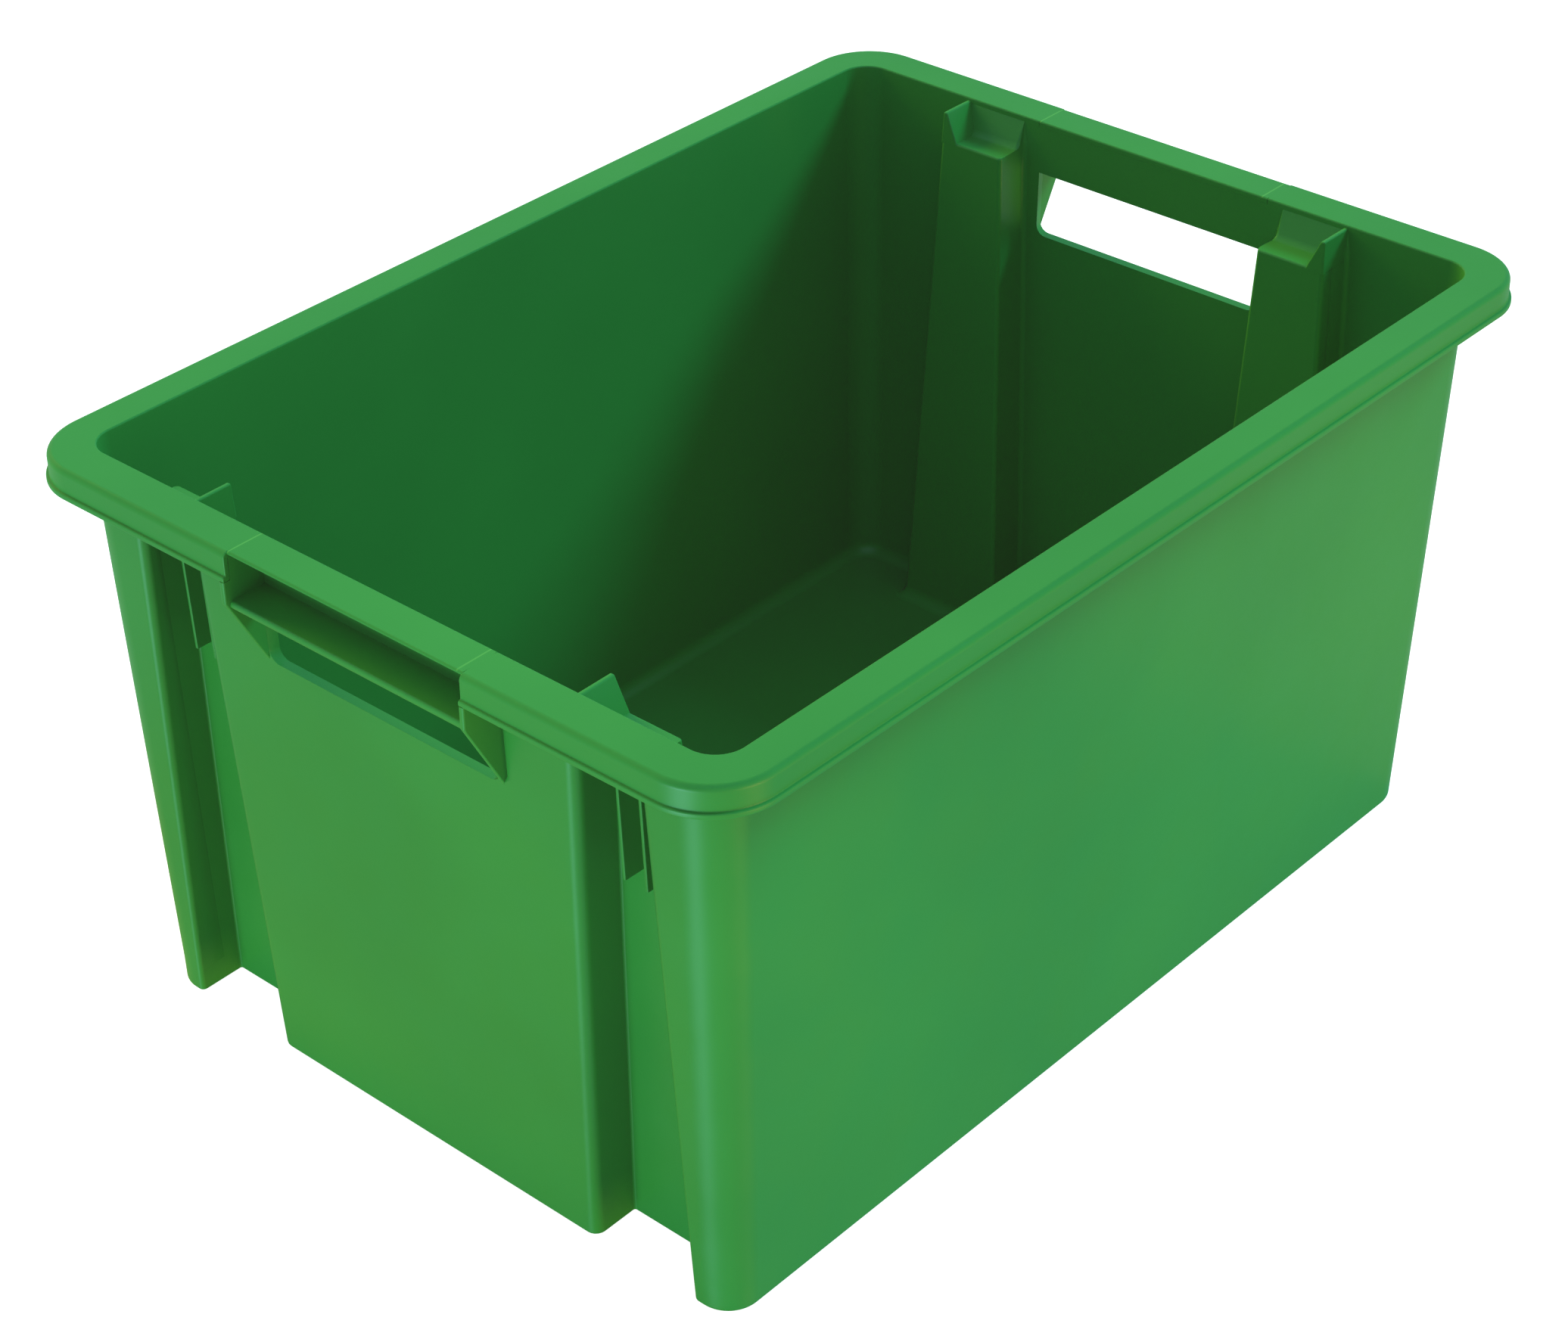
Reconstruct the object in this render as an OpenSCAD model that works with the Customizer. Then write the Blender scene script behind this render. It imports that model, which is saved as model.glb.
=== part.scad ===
// Stack-and-nest storage crate, moulded in one piece.
// The moulding is described region by region: floor, walls, corner posts, nesting
// columns, stacking ledges, rim and hand grips. Neighbours meet face to face.
// +X points to the rear end, +Y to the left side, +Z up. Origin: centre of the base.

/* [Overall] */
// Length over the lip of the rim
overall_l = 600; // [580:1:620]
// Width over the lip of the rim
overall_w = 436; // [420:1:450]
// Height of the crate
height = 310; // [296:1:330]

/* [Walls] */
// Length of the base, outside
base_l = 540; // [532:1:546]
// Width of the base, outside
base_w = 380; // [372:1:386]
// Lean of the end walls, mm outward for each mm of height
end_draft = 0.036; // [0.03:0.001:0.04]
// Lean of the long walls, mm outward for each mm of height
side_draft = 0.027; // [0.02:0.001:0.03]
// Thickness of the long walls
side_wall_t = 2.4; // [1.8:0.1:3]
// Thickness of the end walls at the base
end_wall_t = 3.2; // [2.6:0.1:4]
// Extra thickness of the end walls for each mm of height
end_wall_gain = 0.0075; // [0.005:0.0005:0.009]
// Thickness of the floor
floor_t = 3; // [2:0.1:4]
// Outside radius of the upright corners
corner_r = 22; // [18:1:26]

/* [Nesting columns] */
// Distance of the front columns from the middle of the crate
front_column_y = 137; // [132:0.5:140]
// Distance of the rear columns from the middle of the crate
rear_column_y = 102.5; // [98:0.5:108]
// Width of a column's groove just under the rim
groove_w = 37; // [32:0.5:40]
// Depth of a column's groove just under the rim
groove_d = 24; // [20:0.5:26]
// Lean of the groove's sides and back, mm for each mm of height
groove_draft = 0.0425; // [0.035:0.0005:0.045]
// Thickness of the column walls
column_t = 2.4; // [1.8:0.1:3]

/* [Stacking ledges] */
// Depth of the ledge below the top of the rim
ledge_drop = 17.3; // [15:0.1:20]
// Thickness of the ledge
ledge_t = 2.4; // [2:0.1:3]
// Flat run of the ledge, front to back
ledge_run = 18; // [14:0.5:19]
// Gap between the top of a locating fin and the top of the rim
fin_drop = 1.5; // [0.5:0.1:3]
// Thickness of a locating fin at its top
fin_top_t = 3; // [2:0.1:4]
// Thickness of a locating fin at its foot
fin_foot_t = 10; // [6:0.5:12]
// Thickness of the ribs that hold a ledge up
rib_t = 2; // [1.6:0.1:2.4]
// Distance between the two ribs of a ledge
rib_gap = 13; // [11:0.5:15]
// Reach of the ribs out of the groove's back
rib_reach = 11.5; // [8:0.5:13]
// Height of the ribs below the ledge
rib_h = 76; // [60:1:90]

/* [Rim] */
// Thickness of the rim's flat top
flange_t = 3; // [2:0.1:4]
// Height of the rim's skirt, lip included
skirt_h = 14.8; // [12:0.1:16.5]
// Thickness of the skirt
skirt_t = 2.5; // [2:0.1:3]
// Height of the lip along the foot of the skirt
lip_h = 2.8; // [2:0.1:4]
// Distance that the lip stands out of the skirt
lip_out = 1.5; // [0.5:0.1:2.5]
// Outside radius of the rim's corners
rim_r = 34; // [30:0.5:38]
// Radius of the rim's outer top edge
rim_edge_r = 3; // [2:0.1:4]
// Inside radius of the upright corners and of the opening
mouth_r = 15; // [12:0.5:16]

/* [Hand grips] */
// Width of a hand hole
hole_w = 146; // [130:1:156]
// Height of a hand hole
hole_h = 36; // [30:1:38]
// Radius of a hand hole's lower corners
hole_r = 6; // [3:0.5:10]
// Depth of the grip shelf's underside below the top of the rim
shelf_drop = 29.3; // [27:0.1:32]
// Thickness of the grip shelf
shelf_t = 4; // [3:0.1:4.5]
// Gap between the shelf's front edge and the outside of the skirt
shelf_back = 1.1; // [0.5:0.1:2.5]
// Gap between the flat top's front edge over a grip and the outside of the skirt
edge_back = 2; // [0.5:0.1:6]
// Thickness of the end wall above the shelf
recess_wall_t = 2.2; // [1.8:0.1:2.8]
// Thickness of the cheeks at the ends of the shelf
cheek_t = 2.4; // [2:0.1:3]

/* [Hidden] */

outer_green = [0.20, 0.52, 0.21];
inner_green = [0.08, 0.38, 0.17];
rim_green = [0.23, 0.58, 0.23];

arc_steps = 8;                              // facets in an upright corner
front = -1;                                 // sign of X at the front end
rear = 1;
left = 1;                                   // sign of Y on the left side
right = -1;

skirt_x = overall_l / 2 - lip_out;          // outer face of the skirt at the ends
skirt_y = overall_w / 2 - lip_out;          // outer face of the skirt on the long sides
wall_top = height - flange_t;               // where the walls meet the flange
ledge_z = height - ledge_drop;
ledge_base = ledge_z - ledge_t;
shelf_z = height - shelf_drop;
hole_z = shelf_z - hole_h;
post_run = 12;                              // stretch of long wall in each corner post
groove_top = 275;                           // height at which groove_w and groove_d hold

// Outer and inner faces of the plain walls at height z
function end_out(z) = base_l / 2 + end_draft * z;
function end_in(z) = end_out(z) - end_wall_t - end_wall_gain * z;
function side_out(z) = base_w / 2 + side_draft * z;
function side_in(z) = side_out(z) - side_wall_t;

// Back of a groove, and the groove's two sides for a column centred on y = c
function groove_x(z) = end_out(groove_top) - groove_d + groove_draft * (z - groove_top);
function groove_near(c, z) = c - groove_w / 2 + groove_draft * (z - groove_top);
function groove_far(c, z) = c + groove_w / 2 - groove_draft * (z - groove_top);

mouth_x = end_in(height);                   // half length of the opening
mouth_y = side_in(height);                  // half width of the opening

// Closed solid between two rings of equally many points, both counterclockwise as
// seen from the high ring. Each end is a strip of convex faces: the ring's first half
// runs out along one side of the strip, and its second half comes back along the other.
module loft(low, high) {
    n = len(low);
    cap = n % 2 == 1
        ? [[for (i = [0 : n - 1]) i]]
        : [for (i = [0 : n / 2 - 2]) [i, i + 1, n - 2 - i, n - 1 - i]];
    polyhedron(
        points = concat(low, high),
        faces = concat(
            cap,
            [for (f = cap) [for (i = [len(f) - 1 : -1 : 0]) n + f[i]]],
            [for (i = [0 : n - 1]) [n + i, n + (i + 1) % n, (i + 1) % n, i]]
        )
    );
}

function ring(plan, z) = [for (p = plan) [p[0], p[1], z]];

// Plate that lies in X and Z; its faces are at y0 + lean * z and y1 + lean * z
module upright_plate(outline, y0, y1, lean) {
    loft(
        [for (p = outline) [p[0], y1 + lean * p[1], p[1]]],
        [for (p = outline) [p[0], y0 + lean * p[1], p[1]]]
    );
}

// Four-sided wall between heights z0 and z1, given the corners of its plan at z
module wall_block(plan0, plan1, z0, z1) {
    loft(ring(plan0, z0), ring(plan1, z1));
}

// Puts a solid drawn at the rear left into one of the four corners
module at_corner(sx, sy) {
    mirror([sx < 0 ? 1 : 0, 0, 0]) mirror([0, sy < 0 ? 1 : 0, 0]) children();
}

module at_end(sx) {
    mirror([sx < 0 ? 1 : 0, 0, 0]) children();
}

function column_y(sx) = sx < 0 ? front_column_y : rear_column_y;

// Outline of the floor: a rectangle with rounded corners, less the four columns
module floor_outline() {
    difference() {
        rounded_rectangle(end_in(0), side_in(0), mouth_r);
        for (sx = [front, rear], sy = [left, right])
            at_corner(sx, sy) floor_notch(column_y(sx));
    }
}

// Rectangle of half sizes hx and hy with round corners
module rounded_rectangle(hx, hy, r) {
    square([2 * hx, 2 * (hy - r)], center = true);
    square([2 * (hx - r), 2 * hy], center = true);
    for (sx = [-1, 1], sy = [-1, 1])
        translate([sx * (hx - r), sy * (hy - r)]) circle(r = r, $fn = 64);
}

module floor_notch(c) {
    y0 = groove_near(c, 0) - column_t;
    y1 = groove_far(c, 0) + column_t;
    translate([groove_x(0) - column_t, y0]) square([base_l / 2, y1 - y0]);
}

module floor_panel() {
    color(inner_green) linear_extrude(floor_t) floor_outline();
}

// Plain long wall between two corner posts
function long_plan(z) = let (x = end_out(z) - corner_r - post_run)
    [[-x, side_in(z)], [x, side_in(z)], [x, side_out(z)], [-x, side_out(z)]];

module long_wall(sy) {
    color(outer_green)
        mirror([0, sy < 0 ? 1 : 0, 0])
            wall_block(long_plan(0), long_plan(wall_top), 0, wall_top);
}

// Flat end wall between the two columns, with its hand hole and the recess over it
function panel_plan(c, z) = let (y = groove_near(c, z) - column_t)
    [[end_in(z), -y], [end_out(z), -y], [end_out(z), y], [end_in(z), y]];

// The hand hole is square at the top, under the shelf, and round at the bottom
module hand_hole() {
    translate([end_in(0), 0, 0])
        rotate([90, 0, 90])
            linear_extrude(base_l / 2) {
                translate([-hole_w / 2, hole_z + hole_r])
                    square([hole_w, hole_h - hole_r]);
                translate([-hole_w / 2 + hole_r, hole_z])
                    square([hole_w - 2 * hole_r, hole_r + 1]);
                for (s = [-1, 1])
                    translate([s * (hole_w / 2 - hole_r), hole_z + hole_r])
                        circle(r = hole_r, $fn = 32);
            }
}

// Room for the thumbs between the shelf and the flange
module grip_recess() {
    floor_z = shelf_z + shelf_t;
    outline = [
        [end_in(floor_z) + recess_wall_t, floor_z],
        [base_l, floor_z],
        [base_l, height],
        [end_in(height) + recess_wall_t, height]
    ];
    upright_plate(outline, -hole_w / 2, hole_w / 2, 0);
}

module end_panel(sx) {
    c = column_y(sx);
    color(outer_green)
        at_end(sx)
            difference() {
                wall_block(panel_plan(c, 0), panel_plan(c, wall_top), 0, wall_top);
                hand_hole();
                grip_recess();
            }
}

// Corner post: the end wall outside the column, the round corner, a stretch of long wall
function arc_points(cx, cy, r, a0, a1) = [
    for (i = [0 : arc_steps])
        let (a = a0 + (a1 - a0) * i / arc_steps)
        [cx + r * cos(a), cy + r * sin(a)]
];

function post_plan(c, z) =
    let (
        y0 = groove_far(c, z) + column_t,
        x1 = end_out(z) - corner_r - post_run
    )
    concat(
        [[end_out(z), y0]],
        arc_points(end_out(z) - corner_r, side_out(z) - corner_r, corner_r, 0, 90),
        [[x1, side_out(z)], [x1, side_in(z)]],
        arc_points(end_in(z) - mouth_r, side_in(z) - mouth_r, mouth_r, 90, 0),
        [[end_in(z), y0]]
    );

module corner_post(sx, sy) {
    c = column_y(sx);
    color(outer_green)
        at_corner(sx, sy)
            loft(ring(post_plan(c, 0), 0), ring(post_plan(c, wall_top), wall_top));
}

// Nesting column: a channel open to the outside and below, drawn about y = 0. Its two
// side plates step back above the ledge and run up to the flange.
function channel_ring(z) = let (
    y = groove_far(0, z),
    x = groove_x(z)
) [
    [x - column_t, -y - column_t, z],
    [end_out(z), -y - column_t, z],
    [end_out(z), -y, z],
    [x, -y, z],
    [x, y, z],
    [end_out(z), y, z],
    [end_out(z), y + column_t, z],
    [x - column_t, y + column_t, z]
];

// The channel's top edge under the ledge, with the ends moved in to the step
function step_ring(z, step_x) = [
    for (p = channel_ring(z)) [p[0] > step_x ? step_x : p[0], p[1], z]
];

// Plan of the two side plates where they meet the flange, as four points each
function plate_tops(z) = let (
    y0 = groove_far(0, z),
    y1 = y0 + column_t
) [
    [mouth_x, -y1, z], [end_out(z), -y1, z], [end_out(z), -y0, z], [mouth_x, -y0, z],
    [mouth_x, y0, z], [end_out(z), y0, z], [end_out(z), y1, z], [mouth_x, y1, z]
];

module channel() {
    step_x = groove_x(ledge_base) - column_t + ledge_run;
    polyhedron(
        points = concat(channel_ring(0), step_ring(ledge_base, step_x), plate_tops(wall_top)),
        faces = [
            [0, 1, 2, 3], [0, 3, 4, 7], [4, 5, 6, 7],           // foot
            [11, 10, 9, 8], [15, 12, 11, 8], [15, 14, 13, 12],  // seat of the ledge
            [8, 9, 1, 0], [9, 16, 17, 1],                       // plate on the -Y side
            [10, 11, 3, 2], [18, 19, 10, 2],
            [12, 13, 5, 4], [13, 20, 21, 5],                    // plate on the +Y side
            [14, 15, 7, 6], [22, 23, 14, 6],
            [17, 18, 2, 1], [21, 22, 6, 5],                     // outer ends of the plates
            [11, 12, 4, 3], [15, 8, 0, 7],                      // groove's back, column's front
            [10, 19, 16, 9], [14, 23, 20, 13],                  // slopes above the step
            [19, 18, 17, 16], [23, 22, 21, 20]                  // tops of the plates
        ]
    );
}

module column(sx, sy) {
    color(inner_green)
        at_corner(sx, sy)
            translate([0, column_y(sx), 0]) channel();
}

// Two ribs in the groove that hold the ledge up
module ribs(sx, sy) {
    c = column_y(sx);
    outline = [
        [groove_x(ledge_base - rib_h), ledge_base - rib_h],
        [groove_x(ledge_base - rib_h) + rib_reach, ledge_base - rib_h],
        [groove_x(ledge_base) + rib_reach, ledge_base],
        [groove_x(ledge_base), ledge_base]
    ];
    color(outer_green)
        at_corner(sx, sy)
            for (s = [-1, 1])
                upright_plate(outline, c + s * rib_gap / 2 - rib_t / 2,
                              c + s * rib_gap / 2 + rib_t / 2, 0);
}

// Stacking ledge: a flat shelf, a sloping back up to the rim, and a locating fin.
// The fin is on the side of the column that faces the middle at the front end, and
// on the side that faces the corner at the rear end.
function ledge_outline() = let (
    front_x = groove_x(ledge_base) - column_t,
    step_x = front_x + ledge_run
) [
    [front_x, ledge_base],
    [step_x, ledge_base],
    [mouth_x, wall_top],
    [mouth_x - ledge_t, wall_top],
    [step_x - ledge_t, ledge_z],
    [front_x, ledge_z]
];

module ledge(sx, sy) {
    half = groove_far(0, wall_top) + column_t;
    front_x = groove_x(ledge_base) - column_t;
    foot_x = front_x + ledge_run - ledge_t / 2;     // the fin ends inside the sloping back
    top_x = mouth_x - ledge_t / 3;
    fin_foot = [
        [front_x, -half], [foot_x, -half],
        [foot_x, -half + fin_foot_t], [front_x, -half + fin_foot_t]
    ];
    fin_top = [
        [front_x, -half], [top_x, -half],
        [top_x, -half + fin_top_t], [front_x, -half + fin_top_t]
    ];
    color(inner_green)
        at_corner(sx, sy)
            translate([0, column_y(sx), 0])
                mirror([0, sx > 0 ? 1 : 0, 0])
                    union() {
                        upright_plate(ledge_outline(), -half, half, 0);
                        wall_block(fin_foot, fin_top, ledge_z, height - fin_drop);
                    }
}

// Section of the rim: the skirt's outer face is at 0, and the mouth at -reach
module rim_section(reach) {
    foot = height - skirt_h;
    difference() {
        union() {
            translate([-reach, foot]) square([reach - rim_edge_r, skirt_h]);
            translate([-reach, foot]) square([reach, skirt_h - rim_edge_r]);
            translate([-rim_edge_r, height - rim_edge_r]) circle(r = rim_edge_r, $fn = 48);
            translate([-skirt_t, foot]) square([skirt_t + lip_out, lip_h]);
        }
        translate([-2 * reach, foot - 1])
            square([2 * reach - skirt_t, skirt_h - flange_t + 1]);
    }
}

// Section of the rim's flat top where the skirt hangs from it
module flange_section(reach) {
    intersection() {
        rim_section(reach);
        translate([-reach, wall_top]) square([reach, flange_t]);
    }
}

// Section of the skirt and its lip, below the flat top
module skirt_section(reach) {
    foot = height - skirt_h;
    intersection() {
        rim_section(reach);
        translate([-reach, foot]) square([reach + lip_out, wall_top - foot]);
    }
}

// Runs a section along a long side, between the rim's corners
module along_side(sy) {
    half = skirt_x - rim_r;
    color(rim_green)
        mirror([0, sy < 0 ? 1 : 0, 0])
            translate([-half, skirt_y, 0])
                rotate([90, 0, 90])
                    linear_extrude(2 * half) children();
}

// Runs a section along a stretch of an end
module along_end(sx, start, run) {
    color(rim_green)
        at_end(sx)
            translate([skirt_x, 0, 0])
                rotate([90, 0, 0])
                    translate([0, 0, start])
                        linear_extrude(run) children();
}

module side_rim(sy) {
    along_side(sy) flange_section(skirt_y - mouth_y);
}

module side_skirt(sy) {
    along_side(sy) skirt_section(skirt_y - mouth_y);
}

// The end's flat top is narrower over the hand grip
module end_rim(sx) {
    half = skirt_y - rim_r;
    gap = hole_w / 2;
    reach = skirt_x - mouth_x;
    union() {
        along_end(sx, -gap, 2 * gap)
            translate([-reach, wall_top]) square([reach - edge_back, flange_t]);
        for (start = [-half, gap])
            along_end(sx, start, half - gap) flange_section(reach);
    }
}

// The end's skirt stops at both sides of the hand grip
module end_skirt(sx) {
    half = skirt_y - rim_r;
    gap = hole_w / 2;
    for (start = [-half, gap])
        along_end(sx, start, half - gap) skirt_section(skirt_x - mouth_x);
}

module rim_corner(sx, sy) {
    turn_x = skirt_x - rim_r;
    turn_y = skirt_y - rim_r;
    band = rim_r * 0.45;                    // outer band that turns with the rim
    color(rim_green)
        at_corner(sx, sy)
            union() {
                translate([turn_x, turn_y, 0])
                    rotate_extrude(angle = 90, $fn = 96)
                        translate([rim_r, 0]) rim_section(band);
                translate([0, 0, wall_top])
                    linear_extrude(flange_t)
                        difference() {
                            translate([turn_x, turn_y])
                                intersection() {
                                    circle(r = rim_r - band, $fn = 96);
                                    square(rim_r);
                                }
                            rounded_rectangle(mouth_x, mouth_y, mouth_r);
                        }
            }
}

// Grip shelf across the end, under the flange
module grip_shelf(sx) {
    outline = [
        [end_out(shelf_z), shelf_z],
        [skirt_x - shelf_back, shelf_z],
        [skirt_x - shelf_back, shelf_z + shelf_t],
        [end_out(shelf_z + shelf_t), shelf_z + shelf_t]
    ];
    color(outer_green)
        at_end(sx) upright_plate(outline, -hole_w / 2, hole_w / 2, 0);
}

// Cheek at each end of a grip shelf: it carries the shelf and closes the skirt
module grip_cheek(sx, sy) {
    front_x = skirt_x + lip_out;
    outline = [
        [end_out(wall_top), wall_top],
        [end_out(hole_z), hole_z],
        [front_x, shelf_z + shelf_t],
        [front_x, height - skirt_h],
        [skirt_x - skirt_t, height - skirt_h],
        [skirt_x - skirt_t, wall_top]
    ];
    color(outer_green)
        at_corner(sx, sy)
            upright_plate(outline, hole_w / 2, hole_w / 2 + cheek_t, 0);
}

floor_panel();
long_wall(left);  // left_wall
long_wall(right);  // right_wall
end_panel(front);  // front_panel
end_panel(rear);  // rear_panel
corner_post(front, left);  // front_left_post
corner_post(front, right);  // front_right_post
corner_post(rear, left);  // rear_left_post
corner_post(rear, right);  // rear_right_post
column(front, left);  // front_left_column
column(front, right);  // front_right_column
column(rear, left);  // rear_left_column
column(rear, right);  // rear_right_column
ribs(front, left);  // front_left_ribs
ribs(front, right);  // front_right_ribs
ribs(rear, left);  // rear_left_ribs
ribs(rear, right);  // rear_right_ribs
ledge(front, left);  // front_left_ledge
ledge(front, right);  // front_right_ledge
ledge(rear, left);  // rear_left_ledge
ledge(rear, right);  // rear_right_ledge
grip_shelf(front);  // front_grip_shelf
grip_shelf(rear);  // rear_grip_shelf
grip_cheek(front, left);  // front_left_cheek
grip_cheek(front, right);  // front_right_cheek
grip_cheek(rear, left);  // rear_left_cheek
grip_cheek(rear, right);  // rear_right_cheek
end_rim(front);  // front_rim
end_rim(rear);  // rear_rim
side_rim(left);  // left_rim
side_rim(right);  // right_rim
end_skirt(front);  // front_skirt
end_skirt(rear);  // rear_skirt
side_skirt(left);  // left_skirt
side_skirt(right);  // right_skirt
rim_corner(front, left);  // front_left_rim_corner
rim_corner(front, right);  // front_right_rim_corner
rim_corner(rear, left);  // rear_left_rim_corner
rim_corner(rear, right);  // rear_right_rim_corner
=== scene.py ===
"""Looks of a one-piece stack-and-nest crate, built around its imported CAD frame.

The moulding is swept region by region from one description of its outline, so that the
regions meet in flat areas and the fillets run on from one to the next. Lengths in the
shape code are in millimetres in the frame's own axes: +X to the rear end, +Y left, +Z up.
"""
import math
import bmesh
import bpy
from mathutils import Matrix, Vector


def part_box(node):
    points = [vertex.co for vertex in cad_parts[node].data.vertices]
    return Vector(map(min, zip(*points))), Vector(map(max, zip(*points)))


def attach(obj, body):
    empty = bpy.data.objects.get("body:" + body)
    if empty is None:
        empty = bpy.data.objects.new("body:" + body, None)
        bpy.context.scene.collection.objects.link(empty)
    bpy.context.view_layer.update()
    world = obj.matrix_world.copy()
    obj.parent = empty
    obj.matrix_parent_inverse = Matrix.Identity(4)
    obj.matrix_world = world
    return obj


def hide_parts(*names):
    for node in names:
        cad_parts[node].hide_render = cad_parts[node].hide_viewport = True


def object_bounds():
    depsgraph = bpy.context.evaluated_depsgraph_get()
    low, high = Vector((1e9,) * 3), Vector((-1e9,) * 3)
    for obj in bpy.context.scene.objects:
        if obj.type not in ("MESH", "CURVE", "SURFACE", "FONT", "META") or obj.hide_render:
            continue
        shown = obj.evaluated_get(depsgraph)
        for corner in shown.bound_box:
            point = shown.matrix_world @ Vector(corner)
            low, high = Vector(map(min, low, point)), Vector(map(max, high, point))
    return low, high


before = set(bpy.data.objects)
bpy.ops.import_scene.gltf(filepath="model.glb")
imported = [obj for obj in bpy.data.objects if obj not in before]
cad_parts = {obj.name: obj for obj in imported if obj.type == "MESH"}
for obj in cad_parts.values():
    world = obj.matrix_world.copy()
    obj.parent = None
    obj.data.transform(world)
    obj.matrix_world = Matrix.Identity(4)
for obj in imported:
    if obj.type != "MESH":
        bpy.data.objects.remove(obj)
cad_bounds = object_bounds()

MM = 0.001


# ---------------------------------------------------------------- sizes, from the frame
def box_of(node):
    """Lowest and highest corner of a CAD node, in millimetres."""
    low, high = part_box(node)
    return low / MM, high / MM


floor_high = box_of("floor_panel")[1]
wall_high = box_of("left_wall")[1]
side_high = box_of("left_skirt")[1]
cheek_high = box_of("rear_left_cheek")[1]
skirt_low, skirt_high = box_of("rear_skirt")
shelf_low, shelf_high = box_of("rear_grip_shelf")

HEIGHT = box_of("rear_rim")[1].z
WALL_TOP = wall_high.z
FLOOR_T = floor_high.z
LIP_OUT = 1.5                           # the lip stands this far out of the skirt
SKIRT_X = skirt_high.x - LIP_OUT
SKIRT_Y = side_high.y - LIP_OUT
SKIRT_FOOT = skirt_low.z
SKIRT_T = 2.5
STEP_Z = SKIRT_FOOT + 2.8               # top of the lip
RIM_R = 34.0                            # plan radius of the rim's corners
RIM_EDGE_R = 3.0                        # radius of the rim's outer top edge
MOUTH_EDGE_R = 0.9                      # radius of the opening's top edge
MOUTH_R = 15.0                          # plan radius of the opening's corners
GRIP_EDGE_X = 296.5                     # front edge of the flange over a grip
GRIP_EDGE_T = 1.6                       # thickness of that edge
RECESS_T = 2.2                          # thickness of the end wall above the grip shelf

END_DRAFT = 0.036                       # slope of the end walls, as outward run per rise
SIDE_DRAFT = 0.027                      # slope of the long walls
END_T = 3.2                             # thickness of the end walls at the bottom
END_GAIN = 0.0075                       # and their gain in thickness per rise
SIDE_T = 2.4                            # thickness of the long walls
CORNER_R = 22.0                         # plan radius of the corners below the rim

COLUMN_Y = {-1: 137.0, 1: 102.5}        # columns' distance from the middle: -1 front, 1 rear
GROOVE_W = 37.0                         # width and depth of a groove at GROOVE_TOP
GROOVE_D = 24.0
GROOVE_TOP = 275.0
GROOVE_DRAFT = 0.0425                   # run per rise of a groove's back and sides
COLUMN_T = 2.4                          # wall of a groove, and so of the column inside
NEAR_EDGE_R = 5.5                       # groove edge on the centre panel
FAR_EDGE_R = 5.0                        # groove edge on the corner post
GROOVE_BACK_R = 1.2                     # the two edges at the back of a groove
COLUMN_FRONT_R = 2.2                    # the two edges at the front of a column
COLUMN_FOOT_R = 2.5                     # fillet between a column's side and the wall
LEAST_FOOT_R = 0.4                      # what is left of that fillet down at the floor

LEDGE_Z = HEIGHT - 17.3                 # flat top of a column
LEDGE_T = 2.4
LEDGE_BASE = LEDGE_Z - LEDGE_T
LEDGE_RUN = 18.0                        # from the column's front to the foot of the slope
LEDGE_INNER_R = 3.5                     # reach of the fillet between ledge and slope
LEDGE_OUTER_R = 1.3                     # rounded front edge of the ledge
WALL_ROWS_TOP = 297.0                   # the plain walls' rows beside those two roundings
WALL_ROWS_LOW = 293.2

TRAY_Z = 14.0                           # height at which the floor tray meets the walls
FLOOR_FILLET = 7.0                      # fillet between floor and walls, inside
FOOT_R = 2.2                            # rounded foot outside
GROOVE_FOOT_R = 1.4                     # and inside the grooves
SEAM_GAP = 9.2                          # from a groove's near side to the panel's edge
POST_RUN = 12.0                         # stretch of long wall that goes with a post

HOLE_HALF = shelf_high.y
HOLE_INNER = HOLE_HALF - 1.4            # the hole narrows towards the inside
HOLE_TOP = shelf_low.z
HOLE_Z = HOLE_TOP - 36.0
HOLE_R = 6.0                            # lower corners of the hole
HOLE_EDGE_R = 2.2                       # rounded lower edge of the hole
HOLE_STEPS = 8

HOLLOW_D = 2.2                          # depth of the hollow beside a front cheek
HOLLOW_W = 12.5                         # its width at the top
HOLLOW_FOOT_W = 5.5                     # and at its foot

RIB_DROP = 76.0                         # height of the ribs under a ledge
RIB_REACH = 12.2                        # how far they stand out of the groove's back
RIB_Y = 6.5                             # their distance from the groove's middle
RIB_HALF = (1.15, 0.85)                 # half of a rib's thickness at the back and in front

FIN_TOP = HEIGHT - 1.5
FIN_T = 3.0                             # thickness of a fin at the top
FIN_FOOT_T = 11.0                       # and at its foot

OVERLAP = 0.5                           # how far a small solid is sunk into its neighbour
CHEEK_CREASE = 0.55                     # extra thickness of a cheek above the shelf


def end_out(z):
    return floor_high.x + END_T + END_DRAFT * z


def end_in(z):
    return end_out(z) - END_T - END_GAIN * z


def side_out(z):
    return floor_high.y + SIDE_T + SIDE_DRAFT * z


def side_in(z):
    return side_out(z) - SIDE_T


def groove_x(z):
    return end_out(GROOVE_TOP) - GROOVE_D + GROOVE_DRAFT * (z - GROOVE_TOP)


def groove_half(z):
    return GROOVE_W / 2 - GROOVE_DRAFT * (z - GROOVE_TOP)


def mix(a, b, t):
    return a + (b - a) * t


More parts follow.
